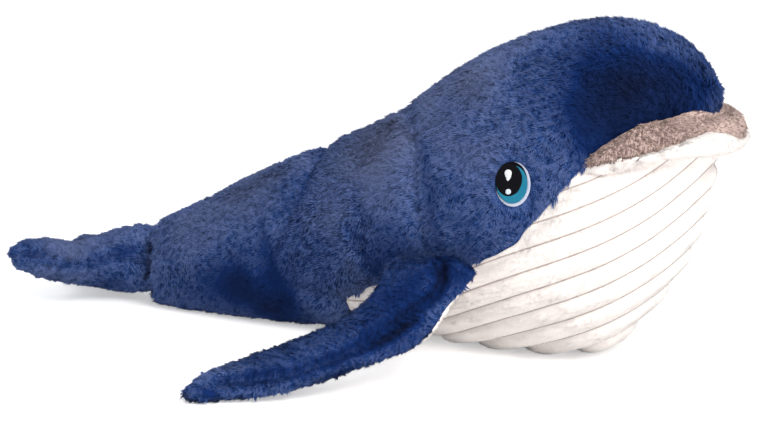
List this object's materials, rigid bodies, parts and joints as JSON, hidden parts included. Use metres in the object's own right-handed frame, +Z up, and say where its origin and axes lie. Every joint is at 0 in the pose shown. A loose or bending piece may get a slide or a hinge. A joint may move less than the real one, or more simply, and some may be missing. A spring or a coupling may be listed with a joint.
{
  "type": "plush whale",
  "caption": "Stuffed whale lying on its belly, with a ribbed white throat, a rolled lip, stitched eyes, and fins and a fluke that swing at their seams.",
  "frame": {"origin": "on the floor in the whale's mirror plane, midway between its fluke's tip and its lip's tip", "axes": "+X toward the nose, +Y toward the whale's left side, +Z up"},
  "size_m": [0.3762, 0.2872, 0.1643],
  "materials": {
    "blue_pile": "long soft pile",
    "white_pile": "short soft pile",
    "taupe_pile": "short soft pile",
    "filling": "loose polyester fibre",
    "white_thread": "satin embroidery thread",
    "black_thread": "satin embroidery thread",
    "teal_thread": "satin embroidery thread"
  },
  "bodies": {
    "stuffed_body": {"tail_skin": "blue_pile", "body_skin": "blue_pile", "head_skin": "blue_pile", "throat_panel": "white_pile", "body_filling": "filling", "lip_lining": "taupe_pile", "lip_rim": "white_pile", "right_eye_white": "white_thread", "right_eye_lash": "black_thread", "right_eye_iris": "teal_thread", "right_eye_pupil": "black_thread", "right_eye_glint_upper": "white_thread", "right_eye_glint_lower": "white_thread", "left_eye_white": "white_thread", "left_eye_lash": "black_thread", "left_eye_iris": "teal_thread", "left_eye_pupil": "black_thread", "left_eye_glint_upper": "white_thread", "left_eye_glint_lower": "white_thread"},
    "right_fin": {"right_fin_top": "blue_pile", "right_fin_under": "white_pile", "right_fin_filling": "filling"},
    "left_fin": {"left_fin_top": "blue_pile", "left_fin_under": "white_pile", "left_fin_filling": "filling"},
    "fluke": {"fluke_top": "blue_pile", "fluke_under": "blue_pile", "fluke_filling": "filling"}
  },
  "joints": [
    {"name": "right_fin_hinge", "type": "hinge", "parent": "stuffed_body", "child": "right_fin", "pos_m": [0.05041, -0.06822, 0.04957], "axis": [-0.9522, 0.1955, -0.2346], "range_deg": [0, 60]},
    {"name": "left_fin_hinge", "type": "hinge", "parent": "stuffed_body", "child": "left_fin", "pos_m": [0.05041, 0.06822, 0.04957], "axis": [0.9522, 0.1955, 0.2346], "range_deg": [0, 60]},
    {"name": "fluke_hinge", "type": "hinge", "parent": "stuffed_body", "child": "fluke", "pos_m": [-0.1258, 0, 0.02377], "axis": [0, 1, 0], "range_deg": [-5, 35], "stiffness_Nm_per_rad": 0.25}
  ]
}
